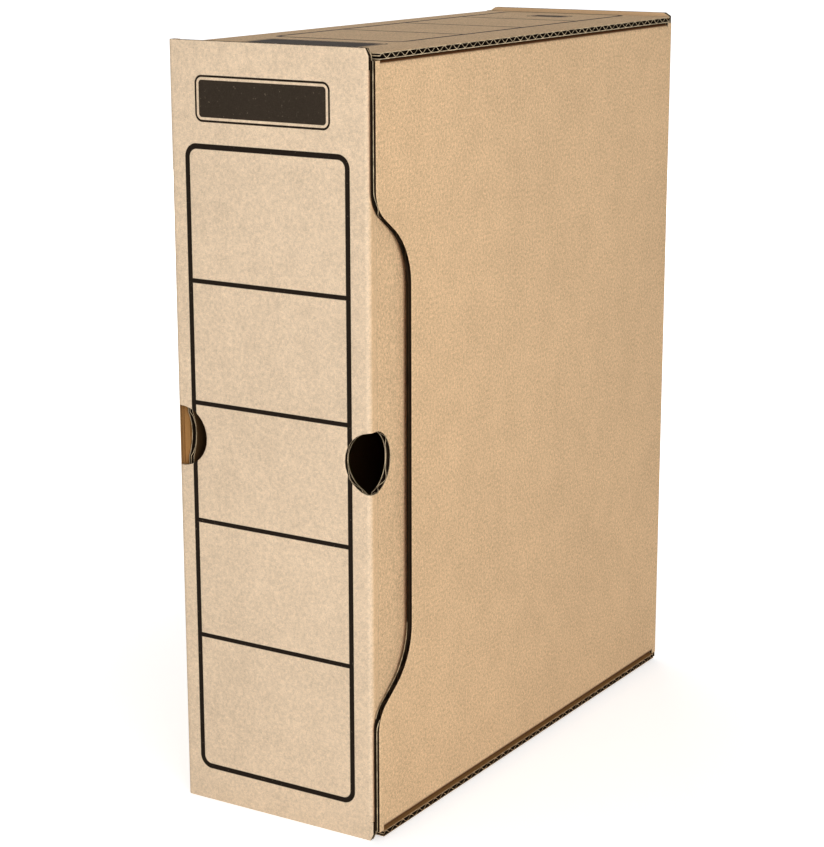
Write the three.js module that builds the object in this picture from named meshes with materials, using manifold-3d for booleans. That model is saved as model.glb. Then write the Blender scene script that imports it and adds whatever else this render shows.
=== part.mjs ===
// Archive box of corrugated board for A4 papers, standing upright as on a shelf.
// Millimetres, +Z up. The origin is the middle of the base, the spine faces -Y, and the recessed side is at +X.
// The spine is a door: it swings on the front left fold, and its tuck wing slides in behind the right side.

import * as THREE from 'three';
import { mergeGeometries, mergeVertices } from 'three/addons/utils/BufferGeometryUtils.js';
import Module from 'manifold-3d';

const wasm = await Module();
wasm.setup();

// The whole box
const overallWidth = 100;
const overallDepth = 262;
const overallHeight = 327;
const rimRise = 1.6;

// The board: two liners with a folded medium between them
const board = 2.8;
const liner = 0.35;
const medium = 0.35;
const flutePitch = 6.55;
const fluteMargin = 1.2;

// The folds, where the board is crushed
const foldReach = 5;
const foldRadius = 2.2;
const foldCrush = 1.2;
const outerArcSteps = 6;
const innerArcSteps = 3;

// Clearances
const flapGap = 0.5;
const slideGap = 0.5;
const runningGap = 0.3;
const glueLayer = 0.3;
const overrun = 2;

// The spine, its tuck wing and the lining opposite it
const wingDepth = 40;
const wingLean = THREE.MathUtils.degToRad(3.5);
const wingSetback = 10.5;
const wingCorner = 12;
const foldSetback = 8.4;
const rimChamferWidth = 1.4;
const rimChamferHeight = 3;

// The finger holes, each round one edge of the spine
const holeRadius = 12.9;
const holeSteps = 32;
const holeDrop = 1.1;
const holeInset = 2;
const thumbHoleOutset = 0.4;
const wingHoleInset = 3.4;

// The shallow cut in the lining behind the left finger hole
const liningCutRadius = 21;
const liningCutDepth = 2.4;

// The recess in the right side's front edge
const sideInset = 0.4;
const recessDepth = 26;
const recessStraight = 143;
const recessDrop = 3;
const recessLeadRadius = 14;
const recessShoulderRadius = 29;
const recessSlope = THREE.MathUtils.degToRad(54.5);
const recessArcSteps = 7;

// The inner flaps and the glue
const innerFlapLength = 48;
const innerFlapCorner = 8;
const glueWidth = 8;
const glueInset = 12;

// The bevelled ends of the back rim
const backRimInset = 1;
const backRimBevel = 2.6;

const left = -overallWidth / 2;
const right = overallWidth / 2;
const front = -overallDepth / 2;
const back = overallDepth / 2;
const topFace = overallHeight - rimRise;
const bottomFace = rimRise;
const innerTopFace = topFace - board - glueLayer;
const innerBottomFace = bottomFace + board + glueLayer;
const spineLeft = left + foldReach + runningGap;
const spineRight = right - board - slideGap;
const flapFront = front + board + flapGap;
const flapBack = back - board - flapGap;
const flapWidth = flapBack - flapFront;
const foldEnd = back - foldReach - runningGap;
const wingHeight = overallHeight - 2 * wingSetback;
const holeHeight = overallHeight / 2 - holeDrop;

const X = new THREE.Vector3(1, 0, 0);
const Y = new THREE.Vector3(0, 1, 0);
const Z = new THREE.Vector3(0, 0, 1);
const leftwards = X.clone().negate();
const forwards = Y.clone().negate();
const downwards = Z.clone().negate();

const finishes = {
  board: { color: 0xdcb98c, roughness: 0.9 },
  fold: { color: 0xd2ae80, roughness: 0.88 },
  glue: { color: 0xe6ddc4, roughness: 0.55 },
};

const box = new THREE.Group();
const door = new THREE.Group();
const wing = new THREE.Group();
wing.position.set(spineRight - board, front + board, 0);
wing.rotation.z = wingLean;
box.add(door);
door.add(wing);

// A closed geometry as a solid that can be cut
function solidOf(geometry) {
  geometry.deleteAttribute('normal');
  geometry.deleteAttribute('uv');
  const merged = mergeVertices(geometry);
  const mesh = new wasm.Mesh({
    numProp: 3,
    vertProperties: new Float32Array(merged.attributes.position.array),
    triVerts: new Uint32Array(merged.index.array),
  });
  return new wasm.Manifold(mesh);
}

function geometryOf(solid) {
  const mesh = solid.getMesh();
  const geometry = new THREE.BufferGeometry();
  geometry.setAttribute('position', new THREE.BufferAttribute(new Float32Array(mesh.vertProperties), 3));
  geometry.setIndex(new THREE.BufferAttribute(new Uint32Array(mesh.triVerts), 1));
  geometry.computeVertexNormals();
  return geometry;
}

function arcPoints(x, y, radius, from, to, steps) {
  const points = [];
  for (let i = 0; i <= steps; i += 1) {
    const turn = from + ((to - from) * i) / steps;
    points.push([x + radius * Math.cos(turn), y + radius * Math.sin(turn)]);
  }
  return points;
}

function circlePoints(x, y, radius = holeRadius) {
  return arcPoints(x, y, radius, 0, 2 * Math.PI, holeSteps).slice(1);
}

function rectangle(width, height) {
  return [[0, 0], [width, 0], [width, height], [0, height]];
}

// A prism of the given outline, from a level below its own XY plane or above it
function prism(points, depth, level = 0) {
  const outline = new THREE.Shape(points.map(([x, y]) => new THREE.Vector2(x, y)));
  const geometry = new THREE.ExtrudeGeometry(outline, { depth, bevelEnabled: false });
  geometry.translate(0, 0, level);
  return geometry;
}

// The turn that lays a piece's own X and Y along the given directions
function turnOf(ownX, ownY) {
  return new THREE.Matrix4().makeBasis(ownX, ownY, new THREE.Vector3().crossVectors(ownX, ownY));
}

function addPiece(parent, name, geometry, finish, place, ownX, ownY) {
  const material = new THREE.MeshStandardMaterial({ ...finishes[finish], metalness: 0 });
  const mesh = new THREE.Mesh(geometry, material);
  mesh.name = name;
  mesh.setRotationFromMatrix(turnOf(ownX, ownY));
  mesh.position.set(...place);
  parent.add(mesh);
}

// The hollows between the liners and the folded medium, all along a sheet's own Y
function fluteChannels(across, along) {
  const count = Math.floor((across - 2 * fluteMargin) / flutePitch);
  const start = (across - count * flutePitch) / 2;
  const low = liner;
  const high = board - liner;
  const web = (2 * medium * (high - low)) / flutePitch;
  const channels = [];
  for (let i = 0; i < 2 * count - 1; i += 1) {
    const from = start + (i * flutePitch) / 2;
    const [base, tip] = i % 2 === 0 ? [low, high - web] : [high, low + web];
    const section = [[base, from + medium], [base, from + flutePitch - medium], [tip, from + flutePitch / 2]];
    channels.push(prism(section, along + 2 * overrun, -overrun));
  }
  const tool = mergeGeometries(channels);
  tool.applyMatrix4(turnOf(Z, X));
  return tool;
}

// Corrugated board lying in its own XY plane: the flutes run along Y, and the thickness is along Z.
function corrugatedSheet(across, along, outline = rectangle(across, along), holes = []) {
  let sheet = solidOf(prism(outline, board)).subtract(solidOf(fluteChannels(across, along)));
  for (const [x, y, radius] of holes) {
    const tool = prism(circlePoints(x, y, radius), board + 2 * overrun, -overrun);
    sheet = sheet.subtract(solidOf(tool));
  }
  return geometryOf(sheet);
}

// An L of board along its own Z: rounded at its outer corner, which is its origin, and crushed thin there.
function foldGeometry(length) {
  const outer = arcPoints(foldRadius, foldRadius, foldRadius, Math.PI, 1.5 * Math.PI, outerArcSteps);
  const crushed = foldRadius - foldCrush;
  const inner = arcPoints(foldRadius, foldRadius, crushed, 1.5 * Math.PI, Math.PI, innerArcSteps);
  return prism([...outer, [foldReach, 0], [foldReach, board], ...inner, [board, foldReach], [0, foldReach]], length);
}

// The left side is whole
function addLeftSide() {
  const across = overallDepth - 2 * foldReach;
  const along = topFace - bottomFace - 2 * foldReach;
  const place = [left, front + foldReach, bottomFace + foldReach];
  addPiece(box, 'left_side_panel', corrugatedSheet(across, along), 'board', place, Y, Z);
}

// The front edge of the recess, from its top to its bottom, about its own middle
function recessPoints() {
  const depth = recessDepth - sideInset;
  const half = recessStraight / 2;
  const sloped = depth - (recessLeadRadius + recessShoulderRadius) * (1 - Math.cos(recessSlope));
  const radii = recessLeadRadius + recessShoulderRadius;
  const top = half + radii * Math.sin(recessSlope) + sloped / Math.tan(recessSlope);
  const lead = arcPoints(recessLeadRadius, top, recessLeadRadius, Math.PI, Math.PI + recessSlope, recessArcSteps);
  const shoulderX = depth - recessShoulderRadius;
  const shoulder = arcPoints(shoulderX, half, recessShoulderRadius, recessSlope, 0, recessArcSteps);
  const upper = [...lead, ...shoulder];
  const lower = upper.map(([x, y]) => [x, -y]).reverse();
  return [...upper, ...lower];
}

// The right side has a long recess in its front edge, and stands past its two flap folds at the front.
function addRightSide() {
  const across = back - foldReach - front - sideInset;
  const height = innerTopFace - innerBottomFace;
  const tab = flapFront - front - sideInset;
  const middle = overallHeight / 2 - recessDrop - innerBottomFace;
  const outline = [
    [0, 0],
    [tab, 0],
    [tab, foldReach],
    [across, foldReach],
    [across, height - foldReach],
    [tab, height - foldReach],
    [tab, height],
    [0, height],
    ...recessPoints().map(([x, y]) => [x, y + middle]),
  ];
  const place = [right - board, front + sideInset, innerBottomFace];
  addPiece(box, 'right_side_panel', corrugatedSheet(across, height, outline), 'board', place, Y, Z);
}

// The back's rims stand past the top and the bottom
function addBack() {
  const width = overallWidth - 2 * backRimInset;
  const flat = foldReach - backRimInset;
  const outline = [
    [backRimBevel, 0],
    [width - backRimBevel, 0],
    [width, bottomFace],
    [width, innerBottomFace],
    [width - flat, innerBottomFace],
    [width - flat, innerTopFace],
    [width, innerTopFace],
    [width, topFace],
    [width - backRimBevel, overallHeight],
    [backRimBevel, overallHeight],
    [0, topFace],
    [flat, topFace],
    [flat, bottomFace],
    [0, bottomFace],
  ];
  const place = [left + backRimInset, back, 0];
  addPiece(box, 'back_panel', corrugatedSheet(width, overallHeight, outline), 'board', place, X, Z);
}

function addOuterFlap(name, upperFace) {
  const along = right - left - foldReach;
  const place = [left + foldReach, flapFront, upperFace];
  addPiece(box, name, corrugatedSheet(flapWidth, along), 'board', place, Y, X);
}

// An inner flap reaches from the right side's fold half way across, and its free corners are bevelled.
function addInnerFlap(name, upperFace) {
  const along = innerFlapLength - foldReach;
  const outline = [
    [innerFlapCorner, 0],
    [flapWidth - innerFlapCorner, 0],
    [flapWidth, innerFlapCorner],
    [flapWidth, along],
    [0, along],
    [0, innerFlapCorner],
  ];
  const place = [right - innerFlapLength, flapFront, upperFace];
  addPiece(box, name, corrugatedSheet(flapWidth, along, outline), 'board', place, Y, X);
}

function addFlapGlue(name, level) {
  const line = new THREE.BoxGeometry(glueWidth, flapWidth - 2 * glueInset, glueLayer);
  const place = [right - innerFlapLength + glueInset, 0, level + glueLayer / 2];
  addPiece(box, name, line, 'glue', place, X, Y);
}

// A strip beside the spine's fold, with its far corners bevelled and a round cut in its near edge
function wingBoard(start, cutMiddle, cutRadius) {
  const width = wingDepth - start;
  const outline = [
    [0, 0],
    [width - wingCorner, 0],
    [width, wingCorner],
    [width, wingHeight - wingCorner],
    [width - wingCorner, wingHeight],
    [0, wingHeight],
  ];
  return corrugatedSheet(width, wingHeight, outline, [[cutMiddle, holeHeight - wingSetback, cutRadius]]);
}

function addHingeLining() {
  const start = board + runningGap;
  const place = [left + board + glueLayer, front + start, wingSetback];
  const lining = wingBoard(start, liningCutDepth - liningCutRadius, liningCutRadius);
  addPiece(box, 'hinge_lining', lining, 'board', place, Y, Z);
  const line = new THREE.BoxGeometry(glueLayer, glueWidth, wingHeight - 2 * glueInset - 2 * wingCorner);
  const middle = [left + board + glueLayer / 2, front + wingDepth - glueInset, overallHeight / 2];
  addPiece(box, 'glue_line_lining', line, 'glue', middle, X, Y);
}

// The fold that the spine swings on keeps a skin where the finger hole meets it
function addHingeFold() {
  const turn = Math.acos((foldCrush - holeInset) / holeRadius);
  const cut = arcPoints(holeInset, holeHeight, holeRadius, -turn, turn, holeSteps);
  const tool = prism(cut, board + overrun, -board);
  tool.applyMatrix4(turnOf(X, Z));
  const fold = solidOf(foldGeometry(overallHeight)).subtract(solidOf(tool));
  addPiece(box, 'crease_front_left', geometryOf(fold), 'fold', [left, front, 0], X, Y);
}

// The finger hole parts the fold between the spine and its wing in two
function addWingFold(name, from, to) {
  const cut = circlePoints(-thumbHoleOutset, holeHeight - from);
  const tool = prism(cut, foldReach + 2 * overrun, -overrun);
  tool.applyMatrix4(turnOf(Y, Z));
  const fold = solidOf(foldGeometry(to - from)).subtract(solidOf(tool));
  addPiece(door, name, geometryOf(fold), 'fold', [spineRight, front, from], Y, leftwards);
}

function addCornerFold(name, length, place, ownX, ownY) {
  addPiece(box, name, foldGeometry(length), 'fold', place, ownX, ownY);
}

function addCornerFolds() {
  addCornerFold('crease_back_left', topFace - bottomFace, [left, back, bottomFace], forwards, X);
  const innerHeight = innerTopFace - innerBottomFace;
  addCornerFold('crease_back_right', innerHeight, [right, back, innerBottomFace], leftwards, forwards);
  const leftStart = front + foldReach + runningGap;
  addCornerFold('crease_top_left', foldEnd - leftStart, [left, leftStart, topFace], X, downwards);
  addCornerFold('crease_bottom_left', foldEnd - leftStart, [left, leftStart, bottomFace], Z, X);
  const rightLength = foldEnd - flapFront;
  addCornerFold('crease_top_right', rightLength, [right, flapFront, innerTopFace], downwards, leftwards);
  addCornerFold('crease_bottom_right', rightLength, [right, flapFront, innerBottomFace], leftwards, Z);
}

// The spine stands past the top and the bottom, where its right corners are chamfered.
function addSpine() {
  const width = spineRight - spineLeft;
  const flat = width - foldReach;
  const outline = [
    [0, 0],
    [width - rimChamferWidth, 0],
    [width, rimChamferHeight],
    [width, foldSetback],
    [flat, foldSetback],
    [flat, overallHeight - foldSetback],
    [width, overallHeight - foldSetback],
    [width, overallHeight - rimChamferHeight],
    [width - rimChamferWidth, overallHeight],
    [0, overallHeight],
  ];
  const holes = [
    [left + holeInset - spineLeft, holeHeight],
    [width + thumbHoleOutset, holeHeight],
  ];
  const geometry = corrugatedSheet(width, overallHeight, outline, holes);
  addPiece(door, 'spine_panel', geometry, 'board', [spineLeft, front + board, 0], X, Z);
}

// The wing leans inwards a little, so that it finds its way in behind the right side.
function addTuckWing() {
  const start = foldReach + runningGap;
  const strip = wingBoard(start, wingHoleInset - start, holeRadius);
  addPiece(wing, 'tuck_wing', strip, 'board', [0, start - board, wingSetback], Y, Z);
}

addLeftSide();
addRightSide();
addBack();
addOuterFlap('top_outer_flap', topFace);
addOuterFlap('bottom_outer_flap', bottomFace + board);
addInnerFlap('top_inner_flap', innerTopFace);
addInnerFlap('bottom_inner_flap', innerBottomFace + board);
addFlapGlue('glue_line_top', innerTopFace);
addFlapGlue('glue_line_bottom', bottomFace + board);
addHingeLining();
addHingeFold();
addCornerFolds();
addSpine();
addWingFold('crease_front_right_lower', foldSetback, holeHeight);
addWingFold('crease_front_right_upper', holeHeight, overallHeight - foldSetback);
addTuckWing();

export default box;
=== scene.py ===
"""Dresses the archive box in corrugated kraft board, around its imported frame.

Everything is in metres, in the box's own frame: +Z up, the spine faces -Y, and the recessed side is
at +X.
"""

import math

import bpy
import bmesh
from mathutils import Matrix, Vector


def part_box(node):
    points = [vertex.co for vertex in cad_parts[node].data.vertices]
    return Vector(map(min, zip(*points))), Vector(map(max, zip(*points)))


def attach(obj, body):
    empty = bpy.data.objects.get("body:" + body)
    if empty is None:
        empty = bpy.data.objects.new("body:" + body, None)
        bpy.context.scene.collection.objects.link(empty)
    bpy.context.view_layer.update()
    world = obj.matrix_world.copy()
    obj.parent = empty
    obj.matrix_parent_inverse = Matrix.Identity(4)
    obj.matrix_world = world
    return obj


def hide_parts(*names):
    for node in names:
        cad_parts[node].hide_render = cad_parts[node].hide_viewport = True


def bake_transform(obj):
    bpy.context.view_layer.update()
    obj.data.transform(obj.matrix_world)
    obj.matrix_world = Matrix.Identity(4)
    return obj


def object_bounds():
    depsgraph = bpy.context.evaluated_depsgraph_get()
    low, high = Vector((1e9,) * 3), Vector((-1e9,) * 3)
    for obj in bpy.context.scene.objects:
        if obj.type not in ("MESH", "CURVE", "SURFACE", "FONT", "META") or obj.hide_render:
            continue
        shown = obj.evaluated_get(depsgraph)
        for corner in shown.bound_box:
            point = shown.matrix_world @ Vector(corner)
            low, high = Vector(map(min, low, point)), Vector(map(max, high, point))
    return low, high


bl_info = {
    "name": "Archive box",
    "version": (1, 0, 0),
    "blender": (4, 5, 0),
    "location": "3D View > Sidebar > Archive box",
    "description": "Builds an upright archive box of corrugated kraft board",
    "category": "Object",
}

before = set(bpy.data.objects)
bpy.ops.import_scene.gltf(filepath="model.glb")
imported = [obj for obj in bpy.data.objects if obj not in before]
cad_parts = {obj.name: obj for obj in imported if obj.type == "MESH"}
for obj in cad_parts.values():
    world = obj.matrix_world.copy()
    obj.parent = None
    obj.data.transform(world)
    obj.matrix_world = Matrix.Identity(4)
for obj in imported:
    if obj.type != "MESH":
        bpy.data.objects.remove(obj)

MM = 0.001

# How near is near enough: for points to merge, and for a point to be on a plane or on a fold's line
WELD = 0.001 * MM
ON_PLANE = 0.01 * MM
ON_LINE = 0.1 * MM

X = Vector((1, 0, 0))
Y = Vector((0, 1, 0))
Z = Vector((0, 0, 1))

BOX_LOW, BOX_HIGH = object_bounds()
SPINE_LOW, SPINE_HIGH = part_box("spine_panel")
LEFT_FOLD_LOW, LEFT_FOLD_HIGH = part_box("crease_front_left")
WING_LOW, WING_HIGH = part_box("tuck_wing")
LOWER_FOLD_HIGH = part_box("crease_front_right_lower")[1]
UPPER_FOLD_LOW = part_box("crease_front_right_upper")[0]
BOARD = SPINE_HIGH.y - SPINE_LOW.y
FOLD_REACH = LEFT_FOLD_HIGH.x - LEFT_FOLD_LOW.x
HALF_HEIGHT = (BOX_LOW.z + BOX_HIGH.z) / 2
TOP_FOLD_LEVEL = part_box("crease_top_right")[1].z
BOTTOM_FOLD_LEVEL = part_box("crease_bottom_right")[0].z
HOLE_HEIGHT = (LOWER_FOLD_HIGH.z + UPPER_FOLD_LOW.z) / 2

# The recess in the right side, measured from the holes' height: half of its straight stretch, and
# how far its cut edge is drawn in painted shade
RECESS_STRAIGHT = 72 * MM
RECESS_ABOVE = 96 * MM
RECESS_BELOW = 108 * MM

# The die presses the cut edges down this near to the right side's front, this far from the finger
# hole along the recess, and this near to the spine's ends
FRONT_STRIP = 2.8 * MM
RECESS_STRIP = 120 * MM
END_STRIP = 1 * MM

RIGHT_FLUTE_SHIFT = 1.0 * MM

# The radius of the right side's folds as a multiple of the others', and that of the glue's edges as
# a share of its thickness
ROUND_FOLD = 1.35
GLUE_ROUNDING = 0.45

# How far from a fold's outer face its painted shade under the flaps starts to show, and shows in
# full
TOP_SHADE_START, TOP_SHADE_FULL = 1.6 * MM, 0.8 * MM
BOTTOM_SHADE_START, BOTTOM_SHADE_FULL = 3.0 * MM, 1.6 * MM

# How far from the top and the bottom the back's rims start to take the outer colour in place of the
# inner liner's painted shade, and have it
RIM_START, RIM_FULL = 2.2 * MM, 1.5 * MM

# The print on the spine, across and up
SPINE_FRAME_LOW = (BOX_LOW.x + 7.6 * MM, BOX_LOW.z + 14.4 * MM)
SPINE_FRAME_HIGH = (BOX_LOW.x + 87.9 * MM, BOX_LOW.z + 285.8 * MM)
SPINE_RULES = [BOX_LOW.z + height * MM for height in (75.3, 126.4, 177.5, 229.1)]
SPINE_PLATE_LOW = (BOX_LOW.x + 13.2 * MM, BOX_LOW.z + 294.5 * MM)
SPINE_PLATE_HIGH = (BOX_LOW.x + 79.0 * MM, BOX_LOW.z + 313.5 * MM)

# The print on the top, across and deep
TOP_FRAME_LOW = (BOX_LOW.x + 14 * MM, BOX_LOW.y + 52 * MM)
TOP_FRAME_HIGH = (BOX_LOW.x + 79 * MM, BOX_HIGH.y - 7 * MM)
TOP_RULES = [BOX_LOW.y + depth * MM for depth in (104, 155, 206)]
TOP_PLATE_LOW = (BOX_LOW.x + 21 * MM, BOX_LOW.y + 12 * MM)
TOP_PLATE_HIGH = (BOX_LOW.x + 80 * MM, BOX_LOW.y + 43 * MM)
TOP_MARK_LOW = (BOX_LOW.x + 39 * MM, BOX_LOW.y + 225 * MM)
TOP_MARK_HIGH = (BOX_LOW.x + 60 * MM, BOX_LOW.y + 238 * MM)

# A plain plate: its corners, the gap to its thin line, that line, and how much ink fills it
PLATE_CORNER = 3.5 * MM
PLATE_MARGIN = 2.0 * MM
PLATE_LINE_INSET = 0.5 * MM
PLATE_LINE = 0.9 * MM
PLATE_INK = 0.97

# The rules' width as a share of the frame's, and how soft the ink's edges are
RULE_SHARE = 0.85
INK_EDGE = 0.12 * MM

# How strongly the fibres show in the liners, and how deep the bumps of each finish are
SPINE_GRAIN = 0.8
SIDE_GRAIN = 1.4
KRAFT_DEPTH = 0.05 * MM
TORN_DEPTH = 0.12 * MM
GLUE_DEPTH = 0.1 * MM

# Each soft lamp: its name, place, size and power
LAMPS = (
    ("key", (-1.0, -2.3, 0.6), (2.0, 1.6), 12.5),
    ("side", (0.95, -0.8, 0.42), (0.8, 0.8), 10.3),
    ("fill", (-1.5, 1.3, 0.45), (1.6, 1.2), 22.0),
)
WORLD_LEVEL = 0.35

# The floor glows less near the box, so that it keeps the box's soft shadow
FLOOR_RADIUS = 14
FLOOR_GREY = 0.8
FLOOR_ROUGHNESS = 0.9
FLOOR_NEAR = 0.15
FLOOR_FAR = 0.5
FLOOR_LEVELS = (0.55, 0.9)

# The camera: its place in millimetres, its yaw, pitch and roll in radians, and its focal length in
# pixels of the picture's height
CAMERA_PLACE = (512.654, -844.641, 391.207)
CAMERA_TURN = (-0.559, -0.2434, -0.0018)
FOCAL_PIXELS = 2210.06
PICTURE_HEIGHT = 847
SENSOR = 36


def linear(red, green, blue):
    """A screen colour of three shares of 255, as the linear colour that Blender's sockets take."""
    shares = [channel / 255 for channel in (red, green, blue)]
    return tuple(s / 12.92 if s <= 0.04045 else ((s + 0.055) / 1.055) ** 2.4 for s in shares)


class ArchiveBoxBoard(bpy.types.PropertyGroup):
    """Measures of the board, its folds, its finger holes and its pressed edges"""

    liner: bpy.props.FloatProperty(
        name="Liner", description="Thickness of each liner", default=0.35 * MM, unit="LENGTH")
    medium: bpy.props.FloatProperty(
        name="Medium", description="Thickness of the wavy medium", default=0.28 * MM, unit="LENGTH")
    flute_pitch: bpy.props.FloatProperty(
        name="Flute pitch", description="Distance from flute to flute",
        default=6.55 * MM, unit="LENGTH")
    fold_radius: bpy.props.FloatProperty(
        name="Fold radius", description="Outer radius of a fold", default=2.2 * MM, unit="LENGTH")
    fold_crush: bpy.props.FloatProperty(
        name="Fold crush", description="Thickness of the board in a fold",
        default=1.2 * MM, unit="LENGTH")
    hole_radius: bpy.props.FloatProperty(
        name="Finger hole radius", description="Radius of the finger holes",
        default=12.9 * MM, unit="LENGTH")
    hole_inset: bpy.props.FloatProperty(
        name="Finger hole inset", description="From the corner to the hole's centre",
        default=2 * MM, unit="LENGTH")
    thumb_outset: bpy.props.FloatProperty(
        name="Thumb hole outset",
        description="From the spine's right edge out to the hole's centre",
        default=0.4 * MM, unit="LENGTH")
    crush_width: bpy.props.FloatProperty(
        name="Crush width",
        description="Width of the strip that the die presses down along a cut edge",
        default=0.7 * MM, unit="LENGTH")
    crush_depth: bpy.props.FloatProperty(
        name="Crush depth", description="How far a cut edge is pressed down",
        default=0.22 * MM, unit="LENGTH")


class ArchiveBoxPrint(bpy.types.PropertyGroup):
    """Measures of the printed lines"""

    line: bpy.props.FloatProperty(
        name="Line", description="Width of the printed lines", default=2.3 * MM, unit="LENGTH")
    corner: bpy.props.FloatProperty(
        name="Corner", description="Radius of the printed frame's corners",
        default=4.6 * MM, unit="LENGTH")


class ArchiveBoxColours(bpy.types.PropertyGroup):
    """Colours of the papers, the ink and the glue"""

    # The spine's liner is drawn paler than the side liner, as painted light from the front; its
    # wing, of the same sheet, takes the side liner
    spine: bpy.props.FloatVectorProperty(
        name="Spine", description="Liner of the spine", subtype="COLOR",
        default=linear(226, 201, 171))
    side: bpy.props.FloatVectorProperty(
        name="Side", description="Liner of the sides, back and flaps", subtype="COLOR",
        default=linear(217, 183, 143))
    # The inner liner is drawn darker than the outer liners, as painted shade for the box's inside;
    # the back's rims take the side colour instead
    inside: bpy.props.FloatVectorProperty(
        name="Inside", description="Inner liner", subtype="COLOR", default=linear(162, 118, 70))
    # The medium and the liners' hidden sides are drawn near-black as painted shade inside the board
    medium: bpy.props.FloatVectorProperty(
        name="Medium", description="Wavy medium and the liners' hidden sides", subtype="COLOR",
        default=linear(36, 26, 17))
    cut: bpy.props.FloatVectorProperty(
        name="Cut edge", description="Pale cut edge", subtype="COLOR",
        default=linear(206, 184, 150))
    # The sides' cut edges are drawn near-black as painted shade, for the shade in the gaps beside
    # them
    dull_cut: bpy.props.FloatVectorProperty(
        name="Cut edge in painted shade", description="Dark cut edge of the sides", subtype="COLOR",
        default=linear(58, 41, 25))
    shaded_cut: bpy.props.FloatVectorProperty(
        name="Shaded cut edge", description="Edge of the bottom flap", subtype="COLOR",
        default=linear(175, 145, 110))
    # Painted shade: the right side's folds darken where they turn in under the flaps
    scuff: bpy.props.FloatVectorProperty(
        name="Under-flap shade", description="Painted shade where a fold turns in under a flap", subtype="COLOR",
        default=linear(88, 56, 31))
    # The lining's face is drawn dark as painted shade, for the shade behind the finger hole
    lining: bpy.props.FloatVectorProperty(
        name="Lining", description="Face of the lining", subtype="COLOR",
        default=linear(84, 60, 36))
    ink: bpy.props.FloatVectorProperty(
        name="Ink", description="Printed lines", subtype="COLOR", default=linear(33, 26, 20))
    glue: bpy.props.FloatVectorProperty(
        name="Glue", description="Dried glue", subtype="COLOR", default=linear(224, 212, 184))


class Wire:
    """A number on a socket: an expression on wires adds the Math nodes that work it out."""

    def __init__(self, paint, socket):
        self.paint = paint
        self.socket = socket

    def math(self, operation, *values):
        node = self.paint.node("ShaderNodeMath", {"operation": operation}, dict(enumerate(values)))
        return Wire(self.paint, node.outputs[0])

    def __add__(self, other):
        return self.math("ADD", self, other)

    def __radd__(self, other):
        return self.math("ADD", other, self)

    def __sub__(self, other):
        return self.math("SUBTRACT", self, other)

    def __rsub__(self, other):
        return self.math("SUBTRACT", other, self)

    def __mul__(self, other):
        return self.math("MULTIPLY", self, other)

    def __rmul__(self, other):
        return self.math("MULTIPLY", other, self)

    def __abs__(self):
        return self.math("ABSOLUTE", self)

    def above(self, other):
        """The larger of the two numbers."""
        return self.math("MAXIMUM", self, other)

    def below(self, other):
        """The smaller of the two numbers."""
        return self.math("MINIMUM", self, other)

    def root(self):
        return self.math("SQRT", self)

    def sine(self):
        return self.math("SINE", self)

    def step(self, low, high):
        """0 under the low value and 1 over the high one, with a smooth ramp between them."""
        settings = {"interpolation_type": "SMOOTHSTEP"}
        values = {0: self, 1: low, 2: high, 3: 0.0, 4: 1.0}
        node = self.paint.node("ShaderNodeMapRange", settings, values)
        return Wire(self.paint, node.outputs[0])


class Paint:
    """A material under construction, with one method that adds any node."""

    def __init__(self, name):
        self.material = bpy.data.materials.new(name)
        self.material.use_nodes = True
        self.tree = self.material.node_tree
        self.tree.nodes.clear()
        self.shader = self.node("ShaderNodeBsdfPrincipled", {}, {"Specular IOR Level": 0.05})
        output = self.node("ShaderNodeOutputMaterial", {}, {})
        self.tree.links.new(self.shader.outputs[0], output.inputs[0])
        self.place = self.node("ShaderNodeTexCoord", {}, {}).outputs["Object"]
        parts = self.node("ShaderNodeSeparateXYZ", {}, {0: self.place})
        self.x, self.y, self.z = (Wire(self, socket) for socket in parts.outputs)

    def node(self, kind, settings, values):
        """A new node with its settings, and with values or links on its inputs."""
        node = self.tree.nodes.new(kind)
        for name, value in settings.items():
            if name == "stops":
                self.set_stops(node.color_ramp, value)
            else:
                setattr(node, name, value)
        for key, value in values.items():
            self.feed(node.inputs[key], value)
        return node

    def set_stops(self, ramp, stops):
        for index, (position, colour) in enumerate(stops):
            stop = ramp.elements[index] if index < 2 else ramp.elements.new(position)
            stop.position = position
            stop.color = (*colour, 1)

    def feed(self, socket, value):
        source = value.socket if isinstance(value, Wire) else value
        if isinstance(source, bpy.types.NodeSocket):
            self.tree.links.new(source, socket)
        else:
            socket.default_value = source

    def noise(self, scale, detail=2.0, rough=0.5, stretch=(1, 1, 1)):
        """Noise from 0 to 1, with its features stretched along the axes."""
        place = self.place
        if stretch != (1, 1, 1):
            place = self.node("ShaderNodeMapping", {}, {0: place, 3: stretch}).outputs[0]
        values = {"Vector": place, "Scale": scale, "Detail": detail, "Roughness": rough}
        return Wire(self, self.node("ShaderNodeTexNoise", {}, values).outputs[0])

    def mix(self, share, first, second, kind="MIX"):
        settings = {"data_type": "RGBA", "blend_type": kind}
        node = self.node("ShaderNodeMix", settings, {0: share, 6: first, 7: second})
        return node.outputs[2]

    def finish(self, colour, rough, height, depth):
        self.feed(self.shader.inputs["Base Color"], colour)
        self.feed(self.shader.inputs["Roughness"], rough)
        values = {"Height": height, "Strength": 1.0, "Distance": depth}
        bump = self.node("ShaderNodeBump", {}, values)
        self.feed(self.shader.inputs["Normal"], bump.outputs[0])


def shade(colour, factor):
    """A colour made darker or lighter, for a socket."""
    return (*(min(1.0, channel * factor) for channel in colour), 1.0)


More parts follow.
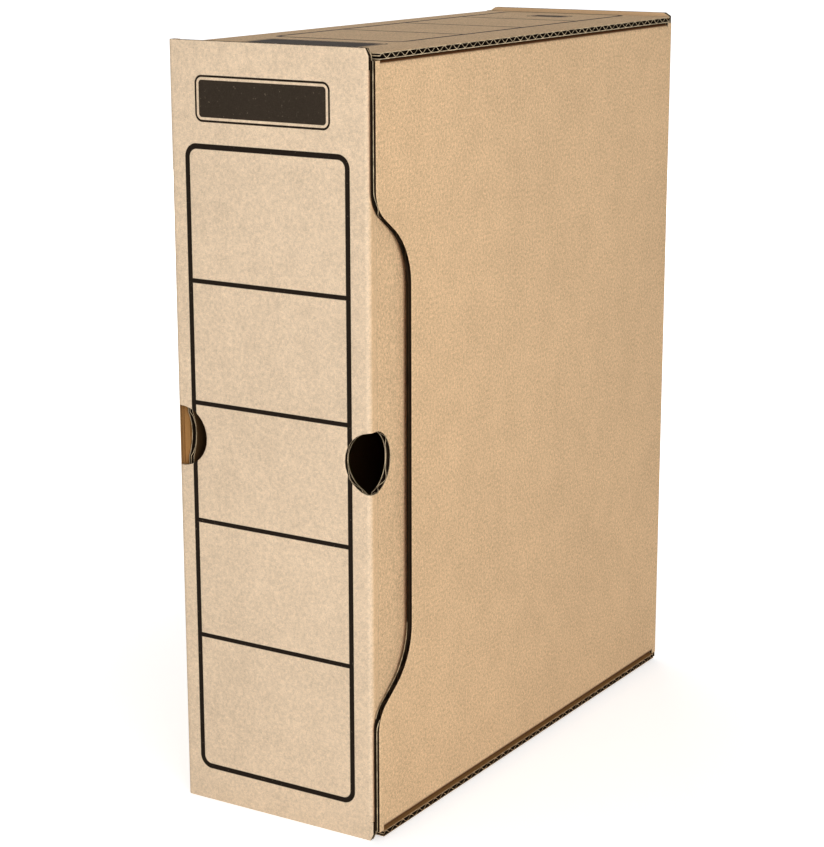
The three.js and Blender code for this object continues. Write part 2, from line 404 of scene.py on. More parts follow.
def kraft(name, colour, flutes, grain, ink=None, turn=None):
    """Kraft liner: fine mottled fibres, soft clouds, and a faint washboard from its board's flutes.

    A turn is a second colour, and the function that tells how far the liner has taken it on.
    """
    board = bpy.context.scene.archive_box_board
    paint = Paint(name)
    fine = paint.noise(2100, 2.0, 0.6)
    specks = paint.noise(820, 2.0, 0.6)
    clouds = paint.noise(75, 3.0, 0.55)
    drifts = paint.noise(14, 2.0, 0.5)
    fibres = 0.9 * (fine - 0.5) + 0.8 * (specks - 0.5)
    tone = 0.5 + grain * fibres + 0.24 * (clouds - 0.5) + 0.16 * (drifts - 0.5)
    stops = [
        (position, shade(colour, factor)[:3])
        for position, factor in ((0.18, 0.72), (0.42, 0.93), (0.58, 1.07), (0.84, 1.3))]
    surface = paint.node("ShaderNodeValToRGB", {"stops": stops}, {0: tone}).outputs[0]
    rough = 0.86 + 0.1 * specks
    if turn is not None:
        second_colour, share = turn
        ratio = [second / first for first, second in zip(colour, second_colour)]
        turned = paint.mix(1.0, surface, (*ratio, 1.0), "MULTIPLY")
        surface = paint.mix(share(paint), surface, turned)
    if ink is not None:
        mask, ink_colour = ink(paint)
        dry = mask * (1.0 - 0.12 * specks.step(0.66, 0.8))
        ink_tone = paint.mix(fine, shade(ink_colour, 0.75), shade(ink_colour, 1.4))
        surface = paint.mix(dry, surface, ink_tone)
    across = {"X": paint.y, "Z": paint.x + paint.y}[flutes]
    washboard = (across * (2 * math.pi / board.flute_pitch)).sine()
    height = 0.6 * fine + 0.7 * specks + 0.25 * washboard
    paint.finish(surface, rough, height, KRAFT_DEPTH)


def past_spine_folds(paint):
    """Rises from 0 on the spine's painted-light face to 1 on the faces that its folds turn to."""
    return paint.y.step(SPINE_LOW.y, SPINE_LOW.y + bpy.context.scene.archive_box_board.fold_radius)


def under_flaps(paint):
    """Rises to 1 where the right side's folds turn in under the flaps, into painted shade."""
    top = paint.z.step(TOP_FOLD_LEVEL - TOP_SHADE_START, TOP_FOLD_LEVEL - TOP_SHADE_FULL)
    above_bottom = paint.z.step(
        BOTTOM_FOLD_LEVEL + BOTTOM_SHADE_FULL, BOTTOM_FOLD_LEVEL + BOTTOM_SHADE_START)
    return top.above(1.0 - above_bottom)


def inner_kraft(name, colour, rim=None):
    """Inner liner: soft fibres, in a colour darkened as painted shade. With a rim colour, the
    back's rims have it.
    """
    paint = Paint(name)
    fine = paint.noise(2000, 2.0, 0.6)
    clouds = paint.noise(40, 3.0, 0.55)
    tone = 0.5 * fine + 0.5 * clouds
    surface = paint.mix(tone, shade(colour, 0.72), shade(colour, 1.25))
    if rim is not None:
        share = abs(paint.z - HALF_HEIGHT).step(HALF_HEIGHT - RIM_START, HALF_HEIGHT - RIM_FULL)
        surface = paint.mix(share, surface, paint.mix(tone, shade(rim, 0.8), shade(rim, 1.15)))
    paint.finish(surface, 0.9 + 0.06 * fine, fine, KRAFT_DEPTH)


def torn_paper(name, colour):
    """The cut edge of a sheet: short pale fibres over a darker ground."""
    paint = Paint(name)
    fibres = paint.noise(3200, 3.0, 0.7)
    patches = paint.noise(300, 2.0, 0.5)
    tone = (0.5 * fibres + 0.5 * patches).step(0.34, 0.66)
    surface = paint.mix(tone, shade(colour, 0.4), shade(colour, 1.25))
    paint.finish(surface, 0.95 - 0.05 * fibres, fibres, TORN_DEPTH)


def dried_glue(name, colour):
    """Dried glue: a pale uneven film with a soft shine."""
    paint = Paint(name)
    film = paint.noise(300, 2.0, 0.5)
    surface = paint.mix(film, shade(colour, 0.8), shade(colour, 1.1))
    paint.finish(surface, 0.45 + 0.2 * film, film, GLUE_DEPTH)


def rounded_distance(across, up, centre, half, corner):
    """How far a point is outside a rectangle with rounded corners; it is negative inside."""
    dx = abs(across - centre[0]) - (half[0] - corner)
    dy = abs(up - centre[1]) - (half[1] - corner)
    outside_x = dx.above(0.0)
    outside_y = dy.above(0.0)
    outside = (outside_x * outside_x + outside_y * outside_y).root()
    return outside + dx.above(dy).below(0.0) - corner


def line_mask(distance, width):
    """1 on a line of the given width that is centred on distance 0."""
    return 1.0 - abs(distance).step(width / 2 - INK_EDGE, width / 2 + INK_EDGE)


def area_mask(distance):
    """1 where the distance is negative."""
    return 1.0 - distance.step(-INK_EDGE, INK_EDGE)


def ruled_frame(across, up, low, high, rules):
    """A ruled label: a rounded frame with straight rules across it."""
    style = bpy.context.scene.archive_box_print
    centre = [(a + b) / 2 for a, b in zip(low, high)]
    half = [(b - a) / 2 - style.line / 2 for a, b in zip(low, high)]
    distance = rounded_distance(across, up, centre, half, style.corner)
    inside = area_mask(distance)
    mask = line_mask(distance, style.line)
    for rule in rules:
        mask = mask.above(inside * line_mask(up - rule, style.line * RULE_SHARE))
    return mask


def plain_plate(across, up, low, high):
    """A plain dark plate with a thin line round it."""
    centre = [(a + b) / 2 for a, b in zip(low, high)]
    half = [(b - a) / 2 for a, b in zip(low, high)]
    distance = rounded_distance(across, up, centre, half, PLATE_CORNER)
    fill = area_mask(distance + PLATE_MARGIN) * PLATE_INK
    return fill.above(line_mask(distance + PLATE_LINE_INSET, PLATE_LINE))


def spine_ink(paint):
    """Where the spine is printed, and the ink's colour."""
    mask = ruled_frame(paint.x, paint.z, SPINE_FRAME_LOW, SPINE_FRAME_HIGH, SPINE_RULES)
    plate = plain_plate(paint.x, paint.z, SPINE_PLATE_LOW, SPINE_PLATE_HIGH)
    return mask.above(plate), bpy.context.scene.archive_box_colours.ink


def top_ink(paint):
    """Where the top is printed, and the ink's colour."""
    mask = ruled_frame(paint.x, paint.y, TOP_FRAME_LOW, TOP_FRAME_HIGH, TOP_RULES)
    plate = plain_plate(paint.x, paint.y, TOP_PLATE_LOW, TOP_PLATE_HIGH)
    mark = plain_plate(paint.x, paint.y, TOP_MARK_LOW, TOP_MARK_HIGH)
    return mask.above(plate).above(mark), bpy.context.scene.archive_box_colours.ink


def finish_named(name):
    """The finished material of that name, made when it is first asked for."""
    if name not in bpy.data.materials:
        colours = bpy.context.scene.archive_box_colours
        make, *values = {
            # Painted light: the spine's liner is paler than the side liner, and gives that up past
            # its folds
            "spine liner": (kraft, colours.spine, "Z", SPINE_GRAIN, spine_ink),
            "turning liner": (
                kraft, colours.spine, "Z", SPINE_GRAIN, None, (colours.side, past_spine_folds)),
            # Painted shade: the right side's folds darken where they turn in under the flaps
            "scuffed liner": (
                kraft, colours.side, "Z", SIDE_GRAIN, None, (colours.scuff, under_flaps)),
            "top liner": (kraft, colours.side, "X", SIDE_GRAIN, top_ink),
            "side liner": (kraft, colours.side, "Z", SIDE_GRAIN),
            "flap liner": (kraft, colours.side, "X", SIDE_GRAIN),
            "inside liner": (inner_kraft, colours.inside, colours.side),
            # Painted shade: the lining's face is drawn dark
            "lining liner": (inner_kraft, colours.lining),
            # Painted shade: the medium is drawn near-black
            "medium": (inner_kraft, colours.medium),
            "cut edge": (torn_paper, colours.cut),
            # Painted shade: the sides' cut edges are drawn near-black
            "dull cut edge": (torn_paper, colours.dull_cut),
            "shaded cut edge": (torn_paper, colours.shaded_cut),
            "glue": (dried_glue, colours.glue),
        }[name]
        make(name, *values)
    return bpy.data.materials[name]


def only(piece):
    """Leaves that piece alone selected and active."""
    bpy.ops.object.select_all(action="DESELECT")
    piece.select_set(True)
    bpy.context.view_layer.objects.active = piece


def edit_faces(piece, test):
    """Opens a piece in edit mode with the faces that pass the test selected."""
    only(piece)
    bpy.ops.object.mode_set(mode="EDIT")
    bpy.ops.mesh.select_mode(type="FACE")
    bpy.ops.mesh.select_all(action="DESELECT")
    mesh = bmesh.from_edit_mesh(piece.data)
    for face in mesh.faces:
        face.select_set(test(face))
    bmesh.update_edit_mesh(piece.data)


def edit_points(piece, test):
    """Opens a piece in edit mode with the points that pass the test selected."""
    only(piece)
    bpy.ops.object.mode_set(mode="EDIT")
    bpy.ops.mesh.select_mode(type="VERT")
    bpy.ops.mesh.select_all(action="DESELECT")
    mesh = bmesh.from_edit_mesh(piece.data)
    for point in mesh.verts:
        point.select_set(test(point.co))
    mesh.select_flush_mode()
    bmesh.update_edit_mesh(piece.data)


def leave_edit():
    bpy.ops.object.mode_set(mode="OBJECT")


def apply_modifier(piece, kind, **settings):
    """Puts a modifier with these settings on a piece and applies it."""
    only(piece)
    modifier = piece.modifiers.new(kind.title(), kind)
    for name, value in settings.items():
        setattr(modifier, name, value)
    bpy.ops.object.modifier_apply(modifier=modifier.name)


def place(piece, matrix):
    """Moves a piece from its own frame into the box's, and puts that place into its mesh."""
    piece.matrix_world = matrix
    only(piece)
    bpy.ops.object.transform_apply(location=True, rotation=True, scale=True)


def paint_all(piece, name):
    """Gives a piece the finish of that name alone."""
    piece.data.materials.clear()
    piece.data.materials.append(finish_named(name))


def node_face(node, name, out):
    """A copy of the one flat face of a node that looks along the given direction."""
    piece = bpy.data.objects.new(name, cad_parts[node].data.copy())
    bpy.context.scene.collection.objects.link(piece)
    level = max(point.co.dot(out) for point in piece.data.vertices)
    edit_faces(piece, lambda face: True)
    bpy.ops.mesh.remove_doubles(threshold=WELD)
    bpy.ops.mesh.select_all(action="DESELECT")
    mesh = bmesh.from_edit_mesh(piece.data)
    for face in mesh.faces:
        flat = face.normal.dot(out) > 0.99 and face.calc_center_median().dot(out) > level - ON_PLANE
        face.select_set(not flat)
    bmesh.update_edit_mesh(piece.data)
    bpy.ops.mesh.delete(type="FACE")
    leave_edit()
    return piece


def press_edges(piece, out, is_cut):
    """Presses a face down along its cut edges, as the cutting die does."""
    board = bpy.context.scene.archive_box_board
    edit_faces(piece, lambda face: True)
    bpy.ops.mesh.dissolve_faces()
    bpy.ops.mesh.inset(thickness=board.crush_width, depth=0)
    mesh = bmesh.from_edit_mesh(piece.data)
    bpy.ops.mesh.select_mode(type="VERT")
    bpy.ops.mesh.select_all(action="DESELECT")
    for point in mesh.verts:
        point.select_set(point.is_boundary and is_cut(point.co))
    bmesh.update_edit_mesh(piece.data)
    bpy.ops.transform.translate(value=-out * board.crush_depth)
    leave_edit()


def slab(node, name, out, thickness, finish, edge, is_cut=None):
    """A closed slab under the node's face that looks along the given direction."""
    piece = node_face(node, name, out)
    if is_cut is not None:
        press_edges(piece, out, is_cut)
    apply_modifier(piece, "SOLIDIFY", thickness=thickness, offset=-1)
    paint_all(piece, finish)
    piece.data.materials.append(finish_named(edge))
    # The liner's side that faces into the board takes the medium's near-black, as painted shade
    piece.data.materials.append(finish_named("medium"))
    for face in piece.data.polygons:
        along = face.normal.dot(out)
        if abs(along) < 0.5:
            face.material_index = 1
        elif along < 0:
            face.material_index = 2
    return piece


def join(pieces, name):
    """Joins pieces into the first of them, under a new name."""
    bpy.ops.object.select_all(action="DESELECT")
    for piece in pieces:
        piece.select_set(True)
    bpy.context.view_layer.objects.active = pieces[0]
    bpy.ops.object.join()
    pieces[0].name = name
    pieces[0].data.name = name
    return pieces[0]


def combine(piece, tool, operation):
    """Intersects a piece with a tool or cuts the tool out of it, and removes the tool."""
    apply_modifier(
        piece, "BOOLEAN", operation=operation, object=tool, solver="EXACT",
        material_mode="TRANSFER")
    bpy.data.objects.remove(tool)


def wavy_medium(node, name, flutes, out, flute_shift, edge, like_liner):
    """The wavy medium of a node's board, cut to the node's own outline."""
    board = bpy.context.scene.archive_box_board
    across = flutes.cross(out)
    points = [point.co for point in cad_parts[node].data.vertices]
    lows = [min(point.dot(axis) for point in points) for axis in (across, flutes, out)]
    highs = [max(point.dot(axis) for point in points) for axis in (across, flutes, out)]
    middle = [(low + high) / 2 for low, high in zip(lows, highs)]
    half_pitch = board.flute_pitch / 2
    count = 2 * (math.ceil((highs[0] - lows[0]) / board.flute_pitch) + 3)
    length = highs[1] - lows[1] + 4 * board.flute_pitch
    bpy.ops.object.select_all(action="DESELECT")
    bpy.ops.mesh.primitive_grid_add(x_subdivisions=count, y_subdivisions=1, size=1)
    piece = bpy.context.active_object
    piece.name = name
    place(piece, Matrix.Diagonal((count * half_pitch, length, 1, 1)))
    # Subdivision leaves a third of a zigzag's height
    rise = 3 * (BOARD - 2 * board.liner - board.medium) / 2
    start = -count * half_pitch / 2
    edit_points(piece, lambda co: round((co.x - start) / half_pitch) % 2 == 0)
    bpy.ops.transform.translate(value=(0, 0, rise))
    bpy.ops.mesh.select_all(action="INVERT")
    bpy.ops.transform.translate(value=(0, 0, -rise))
    leave_edit()
    apply_modifier(piece, "SUBSURF", levels=2, render_levels=2)
    apply_modifier(piece, "SOLIDIFY", thickness=board.medium, offset=0)
    turn = Matrix((across, flutes, out)).transposed().to_4x4()
    centre = across * (middle[0] + flute_shift) + flutes * middle[1] + out * middle[2]
    place(piece, Matrix.Translation(centre) @ turn)
    paint_all(piece, "medium")
    cutter = slab(node, name + "_outline", out, BOARD, "cut edge", "cut edge")
    combine(piece, cutter, "INTERSECT")
    edit_faces(piece, lambda face: True)
    bpy.ops.mesh.remove_doubles(threshold=WELD)
    leave_edit()
    # Where like_liner holds, the medium's cut takes the liners' edge look, which on the sides is
    # painted shade
    piece.data.materials.append(finish_named(edge))
    for face in piece.data.polygons:
        if piece.data.materials[face.material_index].name == "cut edge" and like_liner(face.center):
            face.material_index = len(piece.data.materials) - 1
    only(piece)
    bpy.ops.object.shade_smooth_by_angle(angle=math.radians(40))
    return piece


def corrugated_board(
        node, name, body, flutes, out, looks,
        is_cut=None, flute_shift=0.0, like_liner=lambda co: True):
    """Two liners with the wavy medium between them, in place of a node's board.

    The looks are of the outer face, the inner face and the cut edges.
    """
    board = bpy.context.scene.archive_box_board
    outer, inner, edge = looks
    face = slab(node, name, out, board.liner, outer, edge, is_cut)
    back = slab(node, name + "_back", -out, board.liner, inner, edge)
    medium = wavy_medium(node, name + "_medium", flutes, out, flute_shift, edge, like_liner)
    piece = join([face, back, medium], name)
    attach(piece, body)
    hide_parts(node)
    return piece


def bent_layer(name, length, reaches, leg_depth, corner_depth, thickness, looks, radius, lean):
    """One layer of a fold, whose outer corner is at the origin, with its legs along X and Y."""
    flat_x, flat_y = (reach - radius for reach in reaches)
    middle = radius + flat_x / 2
    bpy.ops.object.select_all(action="DESELECT")
    bpy.ops.mesh.primitive_plane_add(size=1, rotation=(math.pi / 2, 0, 0))
    piece = bpy.context.active_object
    piece.name = name
    only(piece)
    bpy.ops.object.transform_apply(location=False, rotation=True, scale=False)
    stretch = Matrix.Diagonal((flat_x, 1, length, 1))
    place(piece, Matrix.Translation((middle, corner_depth, length / 2)) @ stretch)
    edit_points(piece, lambda co: co.x > middle)
    bpy.ops.transform.translate(value=(0, leg_depth - corner_depth, 0))
    leave_edit()
    edit_points(piece, lambda co: co.x < middle)
    bpy.ops.mesh.spin(steps=12, angle=math.pi / 2, center=(radius, radius, 0), axis=(0, 0, 1))
    leave_edit()
    bend_end = radius / 2 + corner_depth
    edit_points(piece, lambda co: abs(co.y - radius) < ON_PLANE and co.x < bend_end)
    inward = leg_depth - corner_depth + lean
    bpy.ops.mesh.extrude_region_move(TRANSFORM_OT_translate={"value": (inward, flat_y, 0)})
    leave_edit()
    edit_faces(piece, lambda face: True)
    bpy.ops.mesh.remove_doubles(threshold=WELD)
    bpy.ops.mesh.normals_make_consistent(inside=False)
    leave_edit()
    leg = max(piece.data.polygons, key=lambda face: face.center.x)
    if leg.normal.y > 0:
        edit_faces(piece, lambda face: True)
        bpy.ops.mesh.flip_normals()
        leave_edit()
    for look in (*looks, "cut edge"):
        piece.data.materials.append(finish_named(look))
    apply_modifier(
        piece, "SOLIDIFY", thickness=thickness, offset=-1, material_offset=1, material_offset_rim=2)
    return piece


def fold(name, length, finish, reaches=(FOLD_REACH, FOLD_REACH), radius=None, lean=0.0):
    """A fold of corrugated board: the liners with the crushed medium between them."""
    board = bpy.context.scene.archive_box_board
    radius = radius or board.fold_radius
    crushed = board.fold_crush
    # Inside the fold, the hidden faces take the medium's near-black, as painted shade
    layers = (
        (name, 0.0, 0.0, board.liner, (finish, "inside liner")),
        (name + "_medium", (BOARD - board.medium) / 2, (crushed - board.medium) / 2, board.medium,
         ("medium", "medium")),
        (name + "_inner", BOARD - board.liner, crushed - board.liner, board.liner,
         ("medium", "inside liner")),
    )
    pieces = [
        bent_layer(part, length, reaches, leg_depth, corner_depth, thickness, looks, radius, lean)
        for part, leg_depth, corner_depth, thickness, looks in layers]
    return join(pieces, name)


def hole_cutter(name, centre, direction, depth, start_at=None):
    """A round tool of the finger hole's size, whose flat ends leave the inner liner's look.

    With a start, it only cuts beyond that X.
    """
    board = bpy.context.scene.archive_box_board
    turn = Z.rotation_difference(direction).to_euler()
    bpy.ops.object.select_all(action="DESELECT")
    bpy.ops.mesh.primitive_cylinder_add(
        vertices=96, radius=board.hole_radius, depth=depth, location=centre, rotation=turn)
    tool = bpy.context.active_object
    tool.name = name
    only(tool)
    bpy.ops.object.transform_apply(location=True, rotation=True, scale=True)
    if start_at is not None:
        edit_faces(tool, lambda face: True)
        bpy.ops.mesh.bisect(
            plane_co=(start_at, 0, 0), plane_no=(1, 0, 0), clear_inner=True, use_fill=True)
        leave_edit()
    paint_all(tool, "cut edge")
    tool.data.materials.append(finish_named("inside liner"))
    for face in tool.data.polygons:
        if abs(face.normal.x) > 0.999 or abs(face.normal.dot(direction)) > 0.9:
            face.material_index = 1
    return tool


def frame_of(corner, along_x, along_y):
    """The matrix that lays a piece's own X and Y along the given directions, from a corner."""
    turn = Matrix((along_x, along_y, along_x.cross(along_y))).transposed().to_4x4()
    return Matrix.Translation(corner) @ turn


class ARCHIVEBOX_OT_sides(bpy.types.Operator):
    """Builds the left side and the recessed right side"""
    bl_idname = "archivebox.sides"
    bl_label = "Sides"

    def execute(self, context):
        # The sides' cut edges are drawn in painted shade
        looks = ("side liner", "inside liner", "dull cut edge")
        corrugated_board(
            "left_side_panel", "left_side_board", "carton", Z, -X, looks)
        side_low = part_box("right_side_panel")[0]
        front = side_low.y + FRONT_STRIP
        low, high = LOWER_FOLD_HIGH.z - RECESS_STRIP, UPPER_FOLD_LOW.z + RECESS_STRIP
        # Along the recess the medium's cut takes that painted shade as well; elsewhere it stays
        # pale
        piece = corrugated_board(
            "right_side_panel", "right_side_board", "carton", Z, X, looks,
            lambda co: co.y < front or (co.y < 0 and low < co.z < high), RIGHT_FLUTE_SHIFT,
            lambda co: -RECESS_BELOW < co.z - HOLE_HEIGHT < RECESS_ABOVE)
        # On the recess's lower curve the inner liner's cut edge is left pale, outside the painted
        # shade
        inner_level = side_low.x + context.scene.archive_box_board.liner
        names = [look.name for look in piece.data.materials]
        for face in piece.data.polygons:
            at_low_curve = RECESS_STRAIGHT < HOLE_HEIGHT - face.center.z < RECESS_BELOW
            in_painted_shade = names[face.material_index] == "dull cut edge"
            if at_low_curve and in_painted_shade and face.center.x < inner_level:
                face.material_index = names.index("cut edge")
        return {"FINISHED"}


class ARCHIVEBOX_OT_back(bpy.types.Operator):
    """Builds the back with its rims"""
    bl_idname = "archivebox.back"
    bl_label = "Back"

    def execute(self, context):
        looks = ("side liner", "inside liner", "cut edge")
        corrugated_board("back_panel", "back_board", "carton", Z, Y, looks)
        return {"FINISHED"}


class ARCHIVEBOX_OT_flaps(bpy.types.Operator):
    """Builds the outer and inner flaps of the top and the bottom"""
    bl_idname = "archivebox.flaps"
    bl_label = "Flaps"

    def execute(self, context):
        top = ("top liner", "inside liner", "cut edge")
        plain = ("flap liner", "inside liner", "cut edge")
        bottom = ("flap liner", "inside liner", "shaded cut edge")
        left_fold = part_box("top_outer_flap")[0].x + ON_LINE
        right_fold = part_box("top_inner_flap")[1].x - ON_LINE
        quarter_pitch = context.scene.archive_box_board.flute_pitch / 4

        def is_outer_cut(co):
            return co.x > left_fold

        def is_inner_cut(co):
            return co.x < right_fold

        for node, name, slot, out, looks, is_cut in (
            ("top_outer_flap", "top_flap_board", "kraft_board", Z, top, is_outer_cut),
            ("bottom_outer_flap", "bottom_flap_board", "kraft_board", -Z, bottom, is_outer_cut),
            ("top_inner_flap", "top_tab_board", "kraft_inner", Z, plain, is_inner_cut),
            ("bottom_inner_flap", "bottom_tab_board", "kraft_inner", -Z, plain, is_inner_cut),
        ):
            corrugated_board(node, name, "carton", X, out, looks, is_cut, quarter_pitch)
        return {"FINISHED"}


class ARCHIVEBOX_OT_lining(bpy.types.Operator):
    """Builds the lining beside the spine's fold"""
    bl_idname = "archivebox.lining"
    bl_label = "Lining"

    def execute(self, context):
        # The lining's face into the box takes the dark lining colour, painted shade
        looks = ("lining liner", "side liner", "cut edge")
        corrugated_board(
            "hinge_lining", "lining_board", "carton", Z, X, looks, lambda co: True)
        return {"FINISHED"}


class ARCHIVEBOX_OT_spine(bpy.types.Operator):
    """Builds the spine with its printed label"""
    bl_idname = "archivebox.spine"
    bl_label = "Spine"

    def execute(self, context):
        looks = ("spine liner", "inside liner", "cut edge")
        folds = (SPINE_LOW.x, LOWER_FOLD_HIGH.x - FOLD_REACH)
        reach = context.scene.archive_box_board.hole_radius

        def is_cut(co):
            if min(abs(co.x - fold_line) for fold_line in folds) < ON_LINE:
                return False
            at_end = abs(co.z - HALF_HEIGHT) > HALF_HEIGHT - END_STRIP
            return at_end or co.x > folds[1] or abs(co.z - HOLE_HEIGHT) < reach

        corrugated_board("spine_panel", "spine_board", "door", Z, -Y, looks, is_cut)
        return {"FINISHED"}


class ARCHIVEBOX_OT_wing(bpy.types.Operator):
    """Builds the wing that tucks in behind the right side"""
    bl_idname = "archivebox.wing"
    bl_label = "Tuck wing"

    def execute(self, context):
        # The wing leans, so its board looks the way of the node's widest face
        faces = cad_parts["tuck_wing"].data.polygons
        widest = max(faces, key=lambda face: face.area * (face.normal.x > 0.9))
        looks = ("side liner", "inside liner", "cut edge")
        fold_line = WING_LOW.y + 2 * ON_LINE
        corrugated_board(
            "tuck_wing", "wing_board", "wing", Z, widest.normal.copy(), looks,
            lambda co: co.y > fold_line)
        return {"FINISHED"}


class ARCHIVEBOX_OT_corner_folds(bpy.types.Operator):
    """Builds the carton's folds that don't move"""
    bl_idname = "archivebox.corner_folds"
    bl_label = "Corner folds"

    def execute(self, context):
        plain = context.scene.archive_box_board.fold_radius
        round_fold = plain * ROUND_FOLD
        for node, along_x, along_y, look, radius in (
            ("crease_back_left", -Y, X, "side liner", plain),
            ("crease_back_right", -X, -Y, "side liner", plain),
            ("crease_top_left", X, -Z, "side liner", plain),
            ("crease_bottom_left", Z, X, "side liner", plain),
            # These two folds take painted shade where they turn in under the flaps
            ("crease_top_right", -Z, -X, "scuffed liner", round_fold),
            ("crease_bottom_right", -X, Z, "scuffed liner", round_fold),
        ):
            low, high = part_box(node)
            length_axis = along_x.cross(along_y)
            inwards = along_x + along_y + length_axis
            corner = Vector(low[i] if inwards[i] > 0 else high[i] for i in range(3))
            length = abs((high - low).dot(length_axis))
            piece = fold(node.replace("crease", "fold"), length, look, radius=radius)
            place(piece, frame_of(corner, along_x, along_y))
            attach(piece, "carton")
            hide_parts(node)
        return {"FINISHED"}


class ARCHIVEBOX_OT_hinge_fold(bpy.types.Operator):
    """Builds the fold that the spine swings on"""
    bl_idname = "archivebox.hinge_fold"
    bl_label = "Hinge fold"

    def execute(self, context):
        board = context.scene.archive_box_board
        low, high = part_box("crease_front_left")
        reaches = (SPINE_LOW.x - low.x, FOLD_REACH)
        piece = fold("fold_front_left", high.z - low.z, "turning liner", reaches)
        place(piece, frame_of(low, X, Y))
        centre = Vector((low.x + board.hole_inset, low.y, HOLE_HEIGHT))
        tool = hole_cutter("hole_tool", centre, Y, 2 * BOARD, low.x + board.fold_crush)
        combine(piece, tool, "DIFFERENCE")
        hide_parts("crease_front_left")
        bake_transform(piece)
        return {"FINISHED"}


class ARCHIVEBOX_OT_wing_folds(bpy.types.Operator):
    """Builds the two stretches of fold between the spine and its wing"""
    bl_idname = "archivebox.wing_folds"
    bl_label = "Wing folds"

    def execute(self, context):
        board = context.scene.archive_box_board
        for node, is_lower in (
            ("crease_front_right_lower", True),
            ("crease_front_right_upper", False),
        ):
            low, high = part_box(node)
            bottom, top = (low.z, HOLE_HEIGHT) if is_lower else (HOLE_HEIGHT, high.z)
            reaches = (FOLD_REACH, WING_LOW.y - low.y)
            lean = high.x - WING_HIGH.x
            piece = fold(
                node.replace("crease", "fold"), top - bottom, "turning liner", reaches, lean=lean)
            place(piece, frame_of(Vector((high.x, low.y, top)), -X, Y))
            centre = Vector((high.x + board.thumb_outset, low.y, HOLE_HEIGHT))
            combine(piece, hole_cutter("hole_tool", centre, Y, 4 * FOLD_REACH), "DIFFERENCE")
            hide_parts(node)
            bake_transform(piece)
        return {"FINISHED"}


class ARCHIVEBOX_OT_glue(bpy.types.Operator):
    """Builds the lines of glue under the flaps and behind the lining"""
    bl_idname = "archivebox.glue"
    bl_label = "Glue lines"

    def execute(self, context):
        for node in ("glue_line_top", "glue_line_bottom", "glue_line_lining"):
            low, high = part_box(node)
            bpy.ops.object.select_all(action="DESELECT")
            bpy.ops.mesh.primitive_cube_add(size=1, location=(low + high) / 2, scale=high - low)
            piece = context.active_object
            piece.name = node.replace("glue_line", "glue")
            only(piece)
            bpy.ops.object.transform_apply(location=True, rotation=True, scale=True)
            width = min(high - low) * GLUE_ROUNDING
            apply_modifier(piece, "BEVEL", width=width, segments=4, limit_method="ANGLE")
            paint_all(piece, "glue")
            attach(piece, "carton")
            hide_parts(node)
        return {"FINISHED"}


def white_floor():
    """A floor that glows to the camera and in reflections, but lights nothing."""
    bpy.ops.object.select_all(action="DESELECT")
    bpy.ops.mesh.primitive_circle_add(
        vertices=96, radius=FLOOR_RADIUS, fill_type="NGON", location=(0, 0, BOX_LOW.z))
    floor = bpy.context.active_object
    floor.name = "floor"
    paint = Paint("floor")
    paint.feed(paint.shader.inputs["Base Color"], (FLOOR_GREY, FLOOR_GREY, FLOOR_GREY, 1))
    paint.feed(paint.shader.inputs["Roughness"], FLOOR_ROUGHNESS)
    rays = paint.node("ShaderNodeLightPath", {}, {})
    seen = Wire(paint, rays.outputs["Is Camera Ray"])
    for ray in ("Is Glossy Ray", "Is Transmission Ray"):
        seen = seen.above(Wire(paint, rays.outputs[ray]))
    far = (paint.x * paint.x + paint.y * paint.y).root().step(FLOOR_NEAR, FLOOR_FAR)
    near_white, far_white = ((level, level, level, 1) for level in FLOOR_LEVELS)
    paint.feed(paint.shader.inputs["Emission Color"], paint.mix(far, near_white, far_white))
    paint.feed(paint.shader.inputs["Emission Strength"], seen)
    floor.data.materials.append(paint.material)


def white_world():
    """A world that is white to the camera and in reflections, and a dimmer light."""
    world = bpy.data.worlds.new("studio")
    bpy.context.scene.world = world
    world.use_nodes = True
    tree = world.node_tree
    background = tree.nodes["Background"]
    background.inputs["Color"].default_value = (1, 1, 1, 1)
    path = tree.nodes.new("ShaderNodeLightPath")
    glossy = tree.nodes.new("ShaderNodeMath")
    glossy.operation = "MAXIMUM"
    seen = tree.nodes.new("ShaderNodeMath")
    seen.operation = "MAXIMUM"
    level = tree.nodes.new("ShaderNodeMapRange")
    level.inputs["To Min"].default_value = WORLD_LEVEL
    level.inputs["To Max"].default_value = 1.0
    tree.links.new(path.outputs["Is Glossy Ray"], glossy.inputs[0])
    tree.links.new(path.outputs["Is Transmission Ray"], glossy.inputs[1])
    tree.links.new(path.outputs["Is Camera Ray"], seen.inputs[0])
    tree.links.new(glossy.outputs[0], seen.inputs[1])
    tree.links.new(seen.outputs[0], level.inputs["Value"])
    tree.links.new(level.outputs[0], background.inputs["Strength"])


def soft_lamp(name, location, size, power):
    """A white area lamp that is turned to the box's middle."""
    data = bpy.data.lights.new(name, "AREA")
    data.shape = "RECTANGLE"
    data.size, data.size_y = size
    data.energy = power
    lamp = bpy.data.objects.new(name, data)
    bpy.context.scene.collection.objects.link(lamp)
    lamp.location = location
    direction = Vector((0, 0, HALF_HEIGHT)) - lamp.location
    lamp.rotation_euler = direction.to_track_quat("-Z", "Y").to_euler()


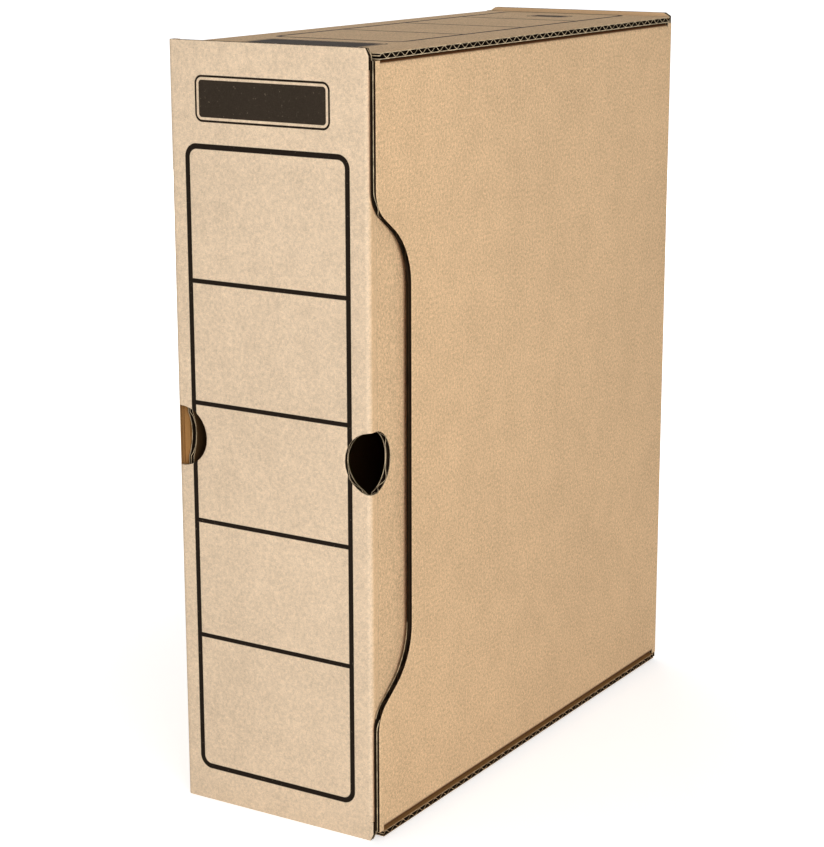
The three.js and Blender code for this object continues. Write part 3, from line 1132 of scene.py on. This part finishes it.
def fitted_camera():
    """The camera of the rest view, placed by given numbers that were fitted to the box's corners.
    """
    data = bpy.data.cameras.new("camera")
    data.sensor_width = SENSOR
    data.lens = FOCAL_PIXELS * SENSOR / PICTURE_HEIGHT
    camera = bpy.data.objects.new("camera", data)
    bpy.context.scene.collection.objects.link(camera)
    yaw, pitch, roll = CAMERA_TURN
    forward = Vector((
        math.sin(yaw) * math.cos(pitch), math.cos(yaw) * math.cos(pitch), math.sin(pitch)))
    side = Vector((math.cos(yaw), -math.sin(yaw), 0))
    up = side.cross(forward)
    side, up = (
        math.cos(roll) * side + math.sin(roll) * up,
        -math.sin(roll) * side + math.cos(roll) * up)
    turn = Matrix((side, up, -forward)).transposed().to_4x4()
    camera.matrix_world = Matrix.Translation(Vector(CAMERA_PLACE) * MM) @ turn
    bpy.context.scene.camera = camera


class ARCHIVEBOX_OT_stage(bpy.types.Operator):
    """Builds the floor, the soft studio lights and the camera"""
    bl_idname = "archivebox.stage"
    bl_label = "Stage"

    def execute(self, context):
        context.scene.view_settings.view_transform = "Standard"
        white_floor()
        white_world()
        for lamp in LAMPS:
            soft_lamp(*lamp)
        fitted_camera()
        return {"FINISHED"}


class ARCHIVEBOX_PT_build(bpy.types.Panel):
    bl_label = "Archive box"
    bl_idname = "ARCHIVEBOX_PT_build"
    bl_space_type = "VIEW_3D"
    bl_region_type = "UI"
    bl_category = "Archive box"

    def draw(self, context):
        for step in STEPS:
            self.layout.operator(step.bl_idname)
        for group in GROUPS:
            settings = getattr(context.scene, group)
            for name in settings.__annotations__:
                self.layout.prop(settings, name)


STEPS = (
    ARCHIVEBOX_OT_stage,
    ARCHIVEBOX_OT_sides,
    ARCHIVEBOX_OT_back,
    ARCHIVEBOX_OT_flaps,
    ARCHIVEBOX_OT_lining,
    ARCHIVEBOX_OT_spine,
    ARCHIVEBOX_OT_wing,
    ARCHIVEBOX_OT_corner_folds,
    ARCHIVEBOX_OT_hinge_fold,
    ARCHIVEBOX_OT_wing_folds,
    ARCHIVEBOX_OT_glue,
)

GROUPS = {
    "archive_box_board": ArchiveBoxBoard,
    "archive_box_print": ArchiveBoxPrint,
    "archive_box_colours": ArchiveBoxColours,
}


def register():
    for kind in (*GROUPS.values(), *STEPS, ARCHIVEBOX_PT_build):
        bpy.utils.register_class(kind)
    for name, kind in GROUPS.items():
        setattr(bpy.types.Scene, name, bpy.props.PointerProperty(type=kind))


def unregister():
    for name in GROUPS:
        delattr(bpy.types.Scene, name)
    for kind in reversed((*GROUPS.values(), *STEPS, ARCHIVEBOX_PT_build)):
        bpy.utils.unregister_class(kind)


def main():
    register()
    bpy.ops.archivebox.stage()
    bpy.ops.archivebox.sides()
    bpy.ops.archivebox.back()
    bpy.ops.archivebox.flaps()
    bpy.ops.archivebox.lining()
    bpy.ops.archivebox.spine()
    bpy.ops.archivebox.wing()
    bpy.ops.archivebox.corner_folds()
    bpy.ops.archivebox.hinge_fold()
    bpy.ops.archivebox.wing_folds()
    bpy.ops.archivebox.glue()


if __name__ == "__main__":
    main()
